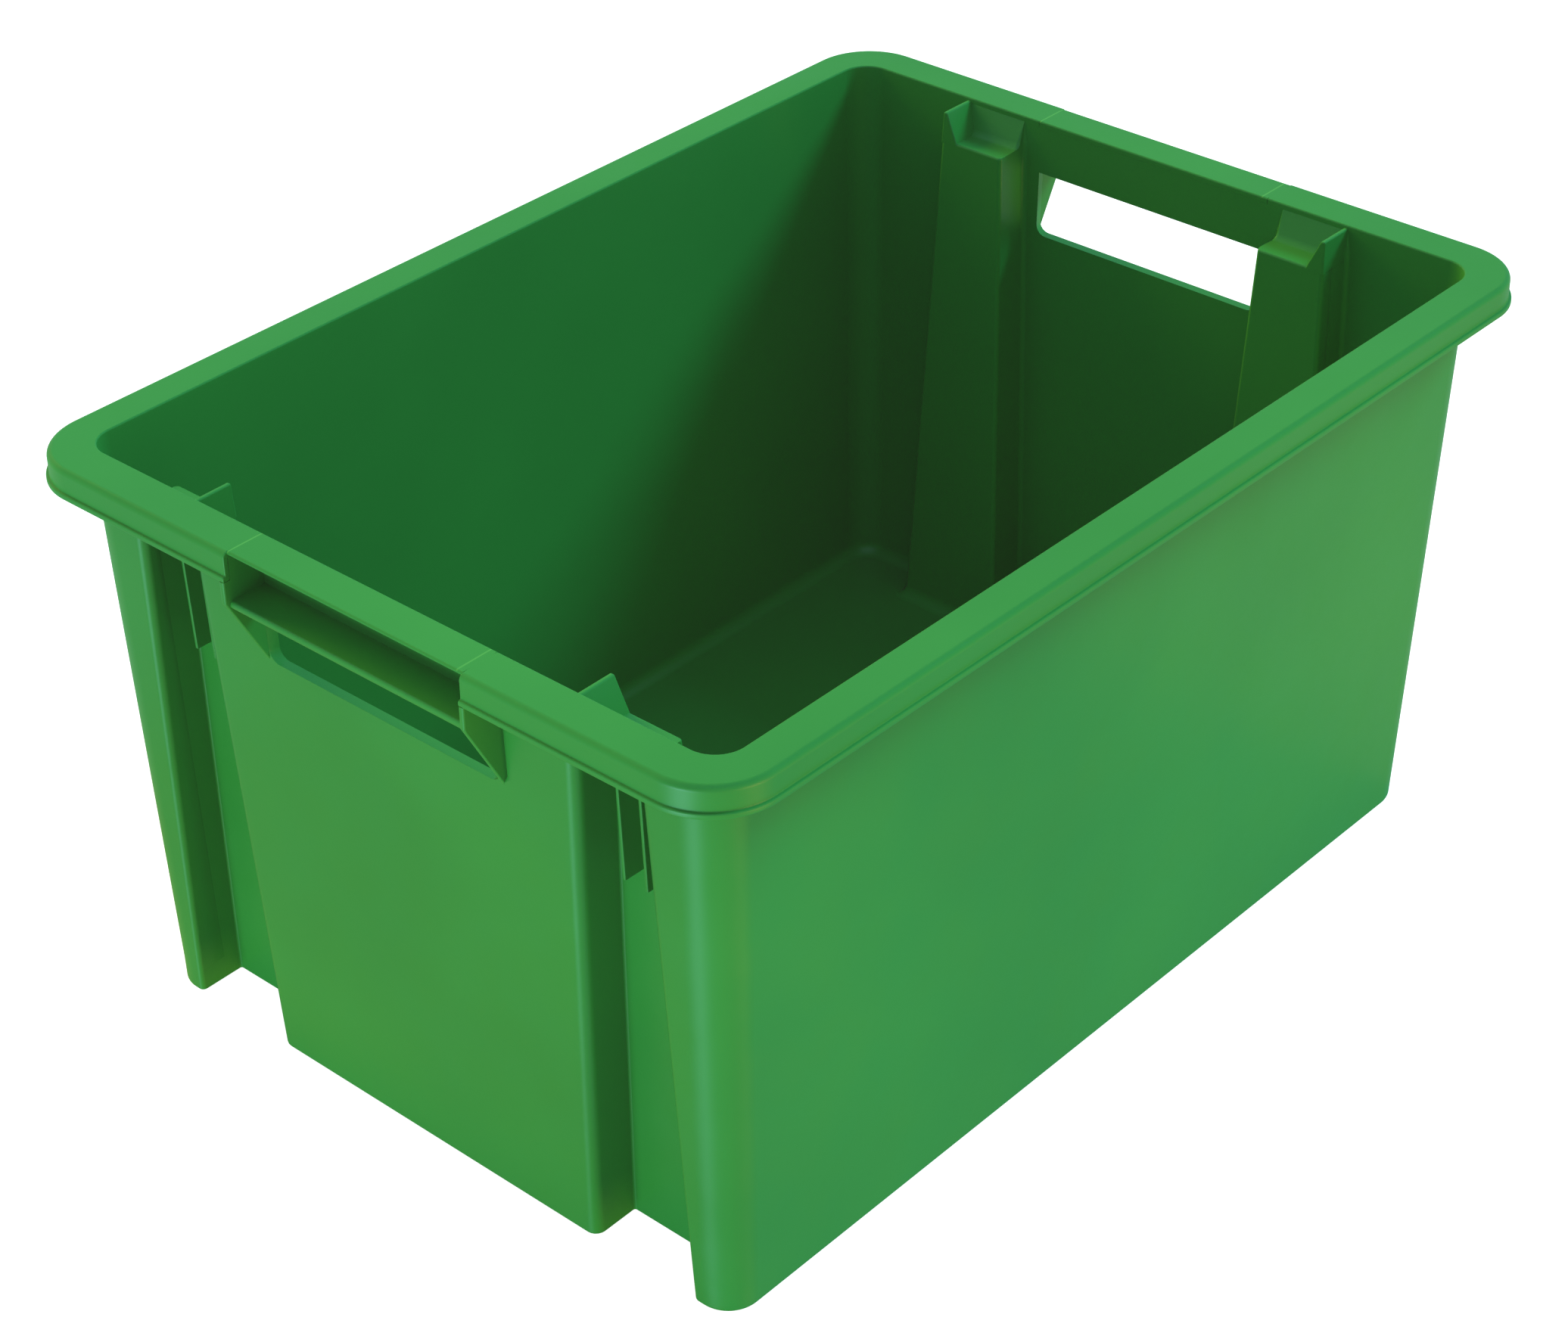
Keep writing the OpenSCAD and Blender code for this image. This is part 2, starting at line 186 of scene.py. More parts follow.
# ---------------------------------------------------------------- outlines
def corner_points(before, corner, after, radius, steps):
    """An arc of steps + 1 points that rounds a corner, kept within its two sides."""
    a = before - corner
    b = after - corner
    turn = math.pi - a.angle(b, math.pi)
    reach = max(radius * math.tan(turn / 2), 0.12)
    reach = min(reach, 0.46 * a.length, 0.46 * b.length)
    start = corner + a.normalized() * reach
    end = corner + b.normalized() * reach
    weight = math.cos(turn / 2)
    points = []
    for i in range(steps + 1):
        t = i / steps
        wa, wc, wb = (1 - t) ** 2, 2 * weight * t * (1 - t), t * t
        points.append((start * wa + corner * wc + end * wb) / (wa + wc + wb))
    return points


EDGE_STEPS = 5
CORNER_STEPS = 18
MID_PLACES = (0.3, 0.62)                # where the points on a groove's sides lie, of its depth


def body_ring(sx, ex, sy, corner_r, back_x, half, plain_z, back_z,
              near_r, far_r, back_r, seam, post_x, mids=None):
    """A quarter of the outline: from the middle of an end, round a groove or column,
    round the corner, to the middle of a long side. Points are (x, y, z); back_z is the
    height at the back of the groove, plain_z the height everywhere else. mids are the
    two points, as (x, z), that a groove's sides pass through."""
    middle = COLUMN_Y[sx]
    if mids is None:
        mids = [(mix(ex, back_x, f), mix(plain_z, back_z, f)) for f in MID_PLACES]
    near, far = middle - half, middle + half
    v = [Vector(p) for p in ((ex, 0), (ex, near), (back_x, near), (back_x, far), (ex, far),
                             (ex, sy), (0, sy))]
    room = sy - far - min(far_r, 0.3 * (sy - far)) - 0.4
    corner_r = min(corner_r, room)
    before = Vector((ex, sy - 2.2 * corner_r))
    after = Vector((ex, sy - corner_r))

    def rounded(a, corner, b, radius, z, steps=EDGE_STEPS):
        return [(p.x, p.y, z) for p in corner_points(a, corner, b, radius, steps)]

    ring = [(ex, 0, plain_z), (ex, seam, plain_z)]
    ring += rounded(v[0], v[1], v[2], near_r, plain_z)
    ring += [(x, near, z) for x, z in mids]
    ring += rounded(v[1], v[2], v[3], back_r, back_z)
    ring += [(back_x, middle, back_z)]
    ring += rounded(v[2], v[3], v[4], back_r, back_z)
    ring += [(x, far, z) for x, z in reversed(mids)]
    ring += rounded(v[3], v[4], after, far_r, plain_z)
    ring += rounded(before, v[5], v[6], corner_r, plain_z, CORNER_STEPS)
    ring += [(post_x, sy, plain_z), (0, sy, plain_z)]
    return ring


ARC = EDGE_STEPS + 1
PANEL_EDGE = 1                                   # index of the seam on the end panel
BACK_START = 2 + ARC + 2                         # first point of the groove's back
FAR_MID = BACK_START + 2 * ARC + 1               # seam on the groove's far side
POST_END = FAR_MID + 2 + ARC + CORNER_STEPS + 1  # seam on the long wall


def seam_y(sx, z):
    return COLUMN_Y[sx] - groove_half(z) - SEAM_GAP


def post_x(z):
    return end_out(z) - CORNER_R - POST_RUN


# A ring at one height, moved inwards by inset. back_z, back_x (or front_x) and mids say
# where the back of the groove lies, when that is not straight behind the ring.
def outer_ring(sx, z, inset=0.0, groove_inset=0.0, back_z=None, back_x=None, mids=None):
    back_z = z if back_z is None else back_z
    back_x = groove_x(back_z) - groove_inset if back_x is None else back_x
    return body_ring(
        sx, end_out(z) - inset, side_out(z) - inset, CORNER_R - inset, back_x,
        groove_half(z) + groove_inset, z, back_z,
        NEAR_EDGE_R, FAR_EDGE_R, GROOVE_BACK_R, seam_y(sx, z), post_x(z), mids)


def inner_ring(sx, z, inset=0.0, back_z=None, front_x=None):
    back_z = z if back_z is None else back_z
    front_x = groove_x(back_z) - COLUMN_T - inset if front_x is None else front_x
    column_half = groove_half(z) + COLUMN_T + inset
    foot_r = max(COLUMN_FOOT_R - inset, LEAST_FOOT_R)
    beside_column = COLUMN_Y[sx] - column_half - 1.2
    return body_ring(
        sx, end_in(z) - inset, side_in(z) - inset, MOUTH_R - inset, front_x,
        column_half, z, back_z, foot_r, foot_r, COLUMN_FRONT_R + inset,
        min(seam_y(sx, z), beside_column), post_x(z))


FOOT_STEPS = 6
FILLET_STEPS = 7


def foot_rings(sx):
    """Outer surface from the underside up to the top of the tray."""
    rings = []
    for i in range(FOOT_STEPS + 1):
        a = math.radians(90 * i / FOOT_STEPS)
        rings.append(outer_ring(sx, FOOT_R * (1 - math.cos(a)), FOOT_R * (1 - math.sin(a)),
                                GROOVE_FOOT_R * (1 - math.sin(a))))
    rings.append(outer_ring(sx, TRAY_Z))
    return rings


def floor_rings(sx):
    """Inner surface from the top of the tray down to the floor."""
    rings = [inner_ring(sx, TRAY_Z)]
    for i in range(FILLET_STEPS + 1):
        a = math.radians(90 * i / FILLET_STEPS)
        rings.append(inner_ring(sx, FLOOR_T + FLOOR_FILLET * (1 - math.sin(a)),
                                FLOOR_FILLET * (1 - math.cos(a))))
    return rings


def outside_rings(sx):
    """Outer surface from the tray to the flange, then the underside of the ledge."""
    step_x = groove_x(LEDGE_BASE) - COLUMN_T + LEDGE_RUN
    mouth_x = end_in(HEIGHT)
    mids = [(mouth_x, WALL_TOP), (step_x, LEDGE_BASE)]
    under = mouth_x + 2.4                   # the slope's underside meets the flange here
    return [
        outer_ring(sx, TRAY_Z),
        outer_ring(sx, WALL_TOP, back_z=LEDGE_BASE, mids=mids),
        outer_ring(sx, WALL_TOP, back_z=LEDGE_BASE, back_x=step_x, mids=mids),
        outer_ring(sx, WALL_TOP, back_z=WALL_TOP, back_x=under,
                   mids=[(under + 1.2, WALL_TOP), (under + 0.6, WALL_TOP)]),
    ]


def inside_rings(sx):
    """Inner surface from the flange down to the tray, over the ledge on the way."""
    top = Vector((end_in(WALL_TOP) - 0.04, WALL_TOP))   # the slope meets the wall's face
    foot = Vector((groove_x(LEDGE_BASE) - COLUMN_T + LEDGE_RUN - LEDGE_T, LEDGE_Z))
    front_x = groove_x(LEDGE_Z) - COLUMN_T
    rings = [inner_ring(sx, WALL_TOP, back_z=WALL_TOP, front_x=top.x)]
    start = foot + (top - foot).normalized() * LEDGE_INNER_R
    end = foot - Vector((LEDGE_INNER_R, 0))
    for i in range(5):
        t = i / 4
        p = start * (1 - t) ** 2 + foot * (2 * t * (1 - t)) + end * t * t
        rings.append(inner_ring(sx, WALL_ROWS_TOP - 3.2 * t, back_z=p.y, front_x=p.x))
    for i in range(4):
        a = math.radians(30 * i)
        rings.append(inner_ring(sx, WALL_ROWS_LOW - 0.6 * i,
                                back_z=LEDGE_Z - LEDGE_OUTER_R * (1 - math.cos(a)),
                                front_x=front_x + LEDGE_OUTER_R * (1 - math.sin(a))))
    rings.append(inner_ring(sx, TRAY_Z))
    return rings


# ---------------------------------------------------------------- mesh helpers
def place(sx, sy, point):
    return Vector((sx * point[0], sy * point[1], point[2])) * MM


SHARP_ANGLE = 38.0                      # edges steeper than this stay crisp


def new_piece(name, bm, node_names, bevel=None, bevel_edges=None):
    """Cleans a bmesh, rounds the chosen edges, and makes it a piece of the crate."""
    bmesh.ops.remove_doubles(bm, verts=bm.verts, dist=2e-6)
    bmesh.ops.dissolve_degenerate(bm, edges=bm.edges, dist=1e-6)
    bmesh.ops.recalc_face_normals(bm, faces=bm.faces)
    if bevel:
        edges = [e for e in bm.edges if bevel_edges(e)]
        bmesh.ops.bevel(bm, geom=edges, offset=bevel * MM, segments=3, profile=0.5,
                        affect="EDGES", clamp_overlap=True)
    mesh = bpy.data.meshes.new(name)
    bm.to_mesh(mesh)
    bm.free()
    mesh.shade_smooth()
    mesh.set_sharp_from_angle(angle=math.radians(SHARP_ANGLE))
    obj = bpy.data.objects.new(name, mesh)
    bpy.context.scene.collection.objects.link(obj)
    weighted = obj.modifiers.new("flat faces stay flat", "WEIGHTED_NORMAL")
    weighted.keep_sharp = True
    weighted.weight = 80
    mesh.materials.append(PLASTIC)
    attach(obj, "root")
    if node_names:
        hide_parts(*node_names)


def sweep(bm, loops):
    """Joins equally long closed loops of points into a solid bar with flat ends."""
    rows = [[bm.verts.new(p) for p in loop] for loop in loops]
    count = len(rows[0])
    for a, b in zip(rows, rows[1:]):
        for i in range(count):
            k = (i + 1) % count
            bm.faces.new((a[i], a[k], b[k], b[i]))
    bm.faces.new(rows[0])
    bm.faces.new(list(reversed(rows[-1])))


def is_edge_angle(edge, low=50.0):
    if len(edge.link_faces) != 2:
        return False
    return math.degrees(edge.calc_face_angle(0)) > low


# ---------------------------------------------------------------- pieces of the moulding
def end_name(sx):
    return "front" if sx < 0 else "rear"


def side_name(sy):
    return "left" if sy > 0 else "right"


def make_tray():
    """The floor with its rounded foot outside and its fillet inside."""
    bm = bmesh.new()
    quarters = {sx: (foot_rings(sx), floor_rings(sx)) for sx in (-1, 1)}
    order = [(1, 1, False), (-1, 1, True), (-1, -1, False), (1, -1, True)]

    def loop_of(part, row):
        points = []
        for sx, sy, backwards in order:
            ring = quarters[sx][part][row]
            ring = list(reversed(ring[:-1])) if backwards else ring[:-1]
            points += [place(sx, sy, p) for p in ring]
        return points

    outer = [loop_of(0, i) for i in range(len(quarters[1][0]))]
    inner = [loop_of(1, i) for i in range(len(quarters[1][1]))]
    sections = [list(s) for s in zip(*(outer + inner))]
    count = len(sections)
    rows = [[bm.verts.new(p) for p in s] for s in sections]
    last = len(sections[0]) - 1
    for j in range(count):
        a, b = rows[j], rows[(j + 1) % count]
        for i in range(last):
            bm.faces.new((a[i], a[i + 1], b[i + 1], b[i]))
    bm.faces.new([r[0] for r in rows])
    bm.faces.new([r[last] for r in reversed(rows)])
    new_piece("floor_panel", bm, ["floor_panel"])


def region(sx, sy, first, last, outer, inner):
    """Section loops of one stretch of a quarter, from outer rings and inner rings."""
    return [[place(sx, sy, ring[j]) for ring in outer + inner] for j in range(first, last + 1)]


def make_column(sx, sy):
    bm = bmesh.new()
    outer, inner = outside_rings(sx), inside_rings(sx)
    sweep(bm, region(sx, sy, PANEL_EDGE, FAR_MID, outer, inner))

    def ledge_rim(e):
        level = all(abs(v.co.z - LEDGE_Z * MM) < 0.00003 for v in e.verts)
        return level and is_edge_angle(e, 60)

    name = f"{end_name(sx)}_{side_name(sy)}"
    new_piece(f"{name}_column", bm, [f"{name}_column", f"{name}_ledge"], 0.8, ledge_rim)


def make_post(sx, sy):
    bm = bmesh.new()
    outer, inner = outside_rings(sx)[:2], inside_rings(sx)
    sweep(bm, region(sx, sy, FAR_MID, POST_END, outer, inner))
    name = f"{end_name(sx)}_{side_name(sy)}_post"
    new_piece(name, bm, [name])


def make_long_wall(sy):
    bm = bmesh.new()
    loops = []
    for sx in (-1, 1):
        outer, inner = outside_rings(sx)[:2], inside_rings(sx)
        loops += region(sx, sy, POST_END, POST_END, outer, inner)
    sweep(bm, loops)
    name = f"{side_name(sy)}_wall"
    new_piece(name, bm, [name])


def hole_outline():
    """The hand hole as (y, z): square at the top, round at the bottom."""
    half = [(HOLE_HALF, HOLE_TOP + 0.1)]    # its top is just inside the shelf
    for i in range(HOLE_STEPS + 1):
        a = math.radians(90 * i / HOLE_STEPS)
        half.append((HOLE_HALF - HOLE_R * (1 - math.cos(a)), HOLE_Z + HOLE_R * (1 - math.sin(a))))
    return [(-y, z) for y, z in half] + half[::-1]


def hollow_points(sx, sy, bm):
    """Shallow hollow in the panel beside a cheek: the two points of its inner border on
    the panel's face, the two under them, and the two of its outer border."""
    def vertex(y, z, depth=0.0):
        return bm.verts.new(place(sx, 1, (end_out(z) - depth, sy * y, z)))

    inner = HOLE_HALF + 1.2                 # in the middle of the cheek's thickness
    return ([vertex(inner, WALL_TOP), vertex(inner, HOLE_Z + 1.0)],
            [vertex(inner, WALL_TOP, HOLLOW_D), vertex(inner, HOLE_Z + 4.0, HOLLOW_D)],
            [vertex(inner + HOLLOW_W, WALL_TOP), vertex(inner + HOLLOW_FOOT_W, HOLE_Z + 5.0)])


def make_panel(sx):
    """The flat end wall with its hand hole and the thinner wall of the grip recess. The
    face lists run from the outer side (out) to the inner one (inn), each side as its hole
    outline, its four corners, the two points over the hole and the two at the foot."""
    bm = bmesh.new()
    hole = hole_outline()
    low_y, high_y = seam_y(sx, TRAY_Z), seam_y(sx, WALL_TOP)
    foot_y = min(HOLE_HALF - HOLE_R, low_y - 3)
    step_z = shelf_high.z - 0.2             # the wall gets thinner just under the shelf's top

    def recess_x(z):
        return end_in(z) + RECESS_T

    def row(x_at, places):
        return [bm.verts.new(place(sx, 1, (x_at(z), y, z))) for y, z in places]

    def across(half, z):
        return [(-half, z), (half, z)]

    def side_points(x_at, half):
        rim = row(x_at, [(y * half / HOLE_HALF, z) for y, z in hole])
        corners = row(x_at, across(low_y, TRAY_Z) + across(-high_y, WALL_TOP))
        return rim, corners, row(x_at, across(HOLE_HALF, WALL_TOP)), row(x_at, across(foot_y, TRAY_Z))

    out, inn = side_points(end_out, HOLE_HALF), side_points(end_in, HOLE_INNER)
    step, back = (row(x_at, across(HOLE_HALF, step_z)) for x_at in (end_out, recess_x))
    lip = row(recess_x, across(HOLE_HALF, WALL_TOP))
    hollow = [[], []]                       # vertices of the hollow along the panel's top
    for side in (out, inn):
        rim, corners, top, foot = side
        upper = step if side is out else top
        bm.faces.new([foot[0], foot[1]] + list(reversed(rim[1:-1])))
        bm.faces.new([rim[0], rim[-1], upper[1], upper[0]])
        for k in (0, 1):
            at_hole = [rim[-k], upper[k], top[k]] if side is out else [rim[-k], top[k]]
            low = rim[-2] if k else rim[1]
            if side is out and sx < 0:
                p, q, r = hollow_points(sx, 2 * k - 1, bm)
                bm.faces.new([low] + at_hole + p)
                bm.faces.new([corners[k], foot[k], low, p[1], r[1], r[0], corners[3 - k]])
                bm.faces.new([q[0], q[1], r[1], r[0]])
                bm.faces.new([p[1], r[1], q[1]])
                bm.faces.new([p[0], p[1], q[1], q[0]])
                hollow[k] = [p[0], q[0], r[0]]
            else:
                bm.faces.new([corners[k], foot[k], low] + at_hole + [corners[3 - k]])
    bm.faces.new([step[0], step[1], back[1], back[0]])
    bm.faces.new([back[0], back[1], lip[1], lip[0]])
    for k in (0, 1):
        bm.faces.new([step[k], back[k], lip[k], out[2][k]])
        bm.faces.new([inn[1][3 - k], inn[2][k], lip[k], out[2][k]] + hollow[k] + [out[1][3 - k]])
    bm.faces.new([lip[0], lip[1], inn[2][1], inn[2][0]])
    foot_row = [(side[1][0], side[3][0], side[3][1], side[1][1]) for side in (out, inn)]
    for a, b in ((out[0], inn[0]), foot_row):
        count = len(a) if a is out[0] else len(a) - 1
        for i in range(count):
            k = (i + 1) % len(a)
            bm.faces.new((a[i], a[k], b[k], b[i]))
    for k in (0, 1):
        bm.faces.new((out[1][k], inn[1][k], inn[1][3 - k], out[1][3 - k]))

    outer_edges = {frozenset((v.co.copy().freeze(), w.co.copy().freeze()))
                   for v, w in zip(out[0][1:-1], out[0][2:-1])}

    def lower_edge(e):
        return frozenset(v.co.copy().freeze() for v in e.verts) in outer_edges

    def hole_edge(e):
        beside = all(abs(v.co.y) < (HOLE_HALF + 0.1) * MM for v in e.verts)
        level = all((HOLE_Z - 0.1) * MM < v.co.z < (HOLE_TOP - 0.5) * MM for v in e.verts)
        return beside and level and is_edge_angle(e, 50) and not lower_edge(e)

    bmesh.ops.recalc_face_normals(bm, faces=bm.faces)
    soft = [e for e in bm.edges if lower_edge(e)]
    bmesh.ops.bevel(bm, geom=soft, offset=HOLE_EDGE_R * MM, segments=4, profile=0.5,
                    affect="EDGES", clamp_overlap=True)
    name = f"{end_name(sx)}_panel"
    new_piece(name, bm, [name], 0.5, hole_edge)


# ---------------------------------------------------------------- rim
def arc_section(cx, cz, r, a0, a1, steps):
    """Points (offset, z) round a centre; angles in degrees from the outward direction."""
    points = []
    for i in range(steps + 1):
        a = math.radians(mix(a0, a1, i / steps))
        points.append((cx + r * math.cos(a), cz + r * math.sin(a)))
    return points


def rim_section(with_skirt):
    """Section of the rim as (edge, offset, z). Edge M measures the offset from the
    opening's face and edge S from the skirt's outer face, outward in both cases. Without
    the skirt, the flange tapers to the thin edge over a grip."""
    section = [("M", 0.0, WALL_TOP)]
    section += [("M", o, z) for o, z in
                arc_section(MOUTH_EDGE_R, HEIGHT - MOUTH_EDGE_R, MOUTH_EDGE_R, 180, 90, 4)]
    if not with_skirt:
        edge, r = GRIP_EDGE_X - SKIRT_X, GRIP_EDGE_T - 0.4
        section += [("S", o, z) for o, z in arc_section(edge - r, HEIGHT - r, r, 90, 0, 6)]
        section += [("S", edge - 0.4, HEIGHT - GRIP_EDGE_T)]
        section += [("M", RECESS_T + 0.5, WALL_TOP)]
        return section
    step_r, lip_r, foot_r, root_r = 0.5, 0.8, 0.6, 1.2
    foot = SKIRT_FOOT + foot_r
    skirt = arc_section(-RIM_EDGE_R, HEIGHT - RIM_EDGE_R, RIM_EDGE_R, 90, 0, 8)
    skirt += [(0.0, STEP_Z + 0.7)]
    skirt += arc_section(step_r, STEP_Z + step_r, step_r, 180, 270, 2)
    skirt += arc_section(LIP_OUT - lip_r, STEP_Z - lip_r, lip_r, 90, 0, 3)
    skirt += arc_section(LIP_OUT - foot_r, foot, foot_r, 0, -90, 3)
    skirt += arc_section(-SKIRT_T + foot_r, foot, foot_r, -90, -180, 3)
    skirt += arc_section(-SKIRT_T - root_r, WALL_TOP - root_r, root_r, 0, 90, 3)
    return section + [("S", o, z) for o, z in skirt] + [("M", 3.5, WALL_TOP)]


RIM_STEPS = 24
RIM_CUT = 1                             # index of the skirt's end beside the grip
RIM_SEAM_Y = 2                          # seam between the end rim and its corner
RIM_SEAM_X = 3 + RIM_STEPS + 1          # seam between the corner and the side rim


def rim_ring(edge, offset, z):
    """A quarter of the rim's outline through one point of its section."""
    if edge == "M":
        hx, hy, r = end_in(z) + offset, side_in(z) + offset, MOUTH_R + offset
    else:
        hx, hy, r = SKIRT_X + offset, SKIRT_Y + offset, RIM_R + offset
    corner = corner_points(Vector((hx, 0)), Vector((hx, hy)), Vector((0, hy)), r, RIM_STEPS)
    ring = [(hx, 0, z), (hx, HOLE_HALF, z), (hx, SKIRT_Y - RIM_R - 6, z)]
    ring += [(p.x, p.y, z) for p in corner]
    ring += [(SKIRT_X - RIM_R - 8, hy, z), (0, hy, z)]
    return ring


def rim_loops(sx, sy, first, last, section):
    rings = [rim_ring(*s) for s in section]
    return [[place(sx, sy, r[j]) for r in rings] for j in range(first, last + 1)]


def make_end_rim(sx):
    """Flange across the end: with the skirt beside the hand grip, and a bare middle piece
    over the grip that is left with a thin edge."""
    bm = bmesh.new()
    for sy in (-1, 1):
        sweep(bm, rim_loops(sx, sy, RIM_CUT, RIM_SEAM_Y, rim_section(True)))
    middle = bmesh.new()
    sweep(middle, [rim_loops(sx, sy, RIM_CUT, RIM_CUT, rim_section(False))[0] for sy in (-1, 1)])
    name = f"{end_name(sx)}_rim"

    def cut_edge(e):
        at_cut = all(abs(abs(v.co.y) - HOLE_HALF * MM) < 1e-6 for v in e.verts)
        on_top = all(v.co.z > (HEIGHT - 0.05) * MM for v in e.verts)
        return at_cut and not on_top and is_edge_angle(e, 50)

    new_piece(name, bm, [name, f"{end_name(sx)}_skirt"], 0.45, cut_edge)
    new_piece(f"{name}_middle", middle, [], 0.45, cut_edge)


def make_rim_corner(sx, sy):
    bm = bmesh.new()
    sweep(bm, rim_loops(sx, sy, RIM_SEAM_Y, RIM_SEAM_X, rim_section(True)))
    name = f"{end_name(sx)}_{side_name(sy)}_rim_corner"
    new_piece(name, bm, [name])


def make_side_rim(sy):
    bm = bmesh.new()
    loops = [rim_loops(sx, sy, RIM_SEAM_X, RIM_SEAM_X, rim_section(True))[0] for sx in (-1, 1)]
    sweep(bm, loops)
    name = f"{side_name(sy)}_rim"
    new_piece(name, bm, [name, f"{side_name(sy)}_skirt"])


# ---------------------------------------------------------------- small solids
def block(bm, low, high):
    """Solid between two four-sided rings of points."""
    a = [bm.verts.new(p) for p in low]
    b = [bm.verts.new(p) for p in high]
    bm.faces.new(list(reversed(a)))
    bm.faces.new(b)
    for i in range(4):
        k = (i + 1) % 4
        bm.faces.new((a[i], a[k], b[k], b[i]))


def make_ribs(sx, sy):
    """Two blades in the groove, under the ledge."""
    bm = bmesh.new()
    at_back, in_front = RIB_HALF

    def ring(y, z):
        x0, x1 = groove_x(z) - 0.8, groove_x(z) + RIB_REACH
        return [place(sx, sy, p) for p in ((x0, y - at_back, z), (x1, y - in_front, z),
                                           (x1, y + in_front, z), (x0, y + at_back, z))]

    for side in (-1, 1):
        y = COLUMN_Y[sx] + side * RIB_Y
        block(bm, ring(y, LEDGE_BASE - RIB_DROP), ring(y, LEDGE_BASE + OVERLAP))
    name = f"{end_name(sx)}_{side_name(sy)}_ribs"
    new_piece(name, bm, [name], 0.45, is_edge_angle)


def make_fin(sx, sy):
    """Locating fin beside the ledge: upright outside, sloping inside."""
    bm = bmesh.new()
    middle = COLUMN_Y[sx]
    side = -1 if sx < 0 else 1                  # the column's side that carries the fin
    foot_z = LEDGE_Z - 1.6
    mouth = end_in(WALL_TOP)

    def ring(z, thick, back):
        y0 = middle + side * (groove_half(z) + COLUMN_T)
        y1 = middle + side * (groove_half(LEDGE_Z) + COLUMN_T - thick)
        x0 = groove_x(z) - COLUMN_T
        return [place(sx, sy, p) for p in ((x0, y0, z), (back, y0, z), (back, y1, z), (x0, y1, z))]

    block(bm, ring(foot_z, FIN_FOOT_T, mouth - 2.0), ring(FIN_TOP, FIN_T, mouth + 1.0))
    name = f"{end_name(sx)}_{side_name(sy)}_fin"

    def free_edge(e):
        above_foot = max(v.co.z for v in e.verts) > (foot_z + 1) * MM
        inside = min(abs(v.co.x) for v in e.verts) < (mouth - 3) * MM
        return above_foot and inside and is_edge_angle(e, 30)

    new_piece(name, bm, [], 0.8, free_edge)


def make_shelf(sx):
    """Grip shelf under the flange, from the recess's wall to a rounded front edge."""
    bm = bmesh.new()
    front = shelf_high.x
    half = HOLE_HALF + OVERLAP
    back = end_in(shelf_high.z) + RECESS_T - OVERLAP
    rings = [[place(sx, 1, p) for p in ((back, -half, z), (front, -half, z),
                                        (front, half, z), (back, half, z))]
             for z in (shelf_low.z, shelf_high.z)]
    block(bm, *rings)
    name = f"{end_name(sx)}_grip_shelf"

    def long_edge(e):
        in_front = all(abs(v.co.x) > (front - 0.1) * MM for v in e.verts)
        along = abs(e.verts[0].co.y - e.verts[1].co.y) > 0.01
        return in_front and along and is_edge_angle(e, 50)

    new_piece(name, bm, [name], 1.6, long_edge)


def make_cheek(sx, sy):
    """Plate at the end of the shelf: flush with the lip, with a slanting foot and a
    slightly thicker part above the shelf."""
    bm = bmesh.new()
    y0 = HOLE_HALF + 0.03                   # just beside the hole and the shelf
    thin, thick = cheek_high.y, cheek_high.y + CHEEK_CREASE
    front, behind_skirt = SKIRT_X + LIP_OUT, SKIRT_X - SKIRT_T + 0.02
    foot_x, foot_z = end_out(HOLE_Z) - OVERLAP, HOLE_Z - 0.6
    knee_z = shelf_high.z - 0.6

    def ring(z, x1, y1):
        x0 = end_out(z) - 3.0
        return [place(sx, sy, p) for p in ((x0, y0, z), (x1, y0, z), (x1, y1, z), (x0, y1, z))]

    def on_slant(z):
        return mix(foot_x, front, (z - foot_z) / (knee_z - foot_z))

    crease = knee_z - 1.2
    sweep(bm, [
        ring(foot_z, foot_x, thin),
        ring(crease - 0.5, on_slant(crease - 0.5), thin),
        ring(crease, on_slant(crease), thick),
        ring(knee_z, front, thick),
        ring(SKIRT_FOOT - 0.02, front, thick),
        ring(SKIRT_FOOT - 0.01, behind_skirt, thick),
        ring(WALL_TOP + 0.3, behind_skirt, thick)])
    name = f"{end_name(sx)}_{side_name(sy)}_cheek"

    def free_edge(e):
        low_z = all(v.co.z < (SKIRT_FOOT - 0.015) * MM for v in e.verts)
        upright = abs(e.verts[0].co.y - e.verts[1].co.y) < 0.0009
        at_front = all(abs(v.co.x) > (on_slant(v.co.z / MM) - 0.1) * MM or
                       abs(v.co.x) > (front - 0.1) * MM for v in e.verts)
        return low_z and upright and at_front and is_edge_angle(e, 50)

    new_piece(name, bm, [name], 0.8, free_edge)


# ---------------------------------------------------------------- material
GREEN_DARK = (0.036, 0.262, 0.036, 1)
GREEN_LIGHT = (0.046, 0.300, 0.041, 1)
GREEN_LINE_HIGHLIGHT = (0.100, 0.400, 0.065, 1)   # painted highlight along the witness lines across the rim, for the light their small step catches
GLOW_COLOUR = (1.0, 0.35, 0.75, 1)      # stands for light scattered inside the plastic
GLOW = 0.0075
LINE_Y = 71.15                          # the witness lines lie this far on either side of
LINE_MIDDLE = 1.45                      # a middle that is a little off the crate's own
LINE_HALF = 0.45                        # half of a line's width
LINE_HIGHLIGHT_BLEND = 0.8


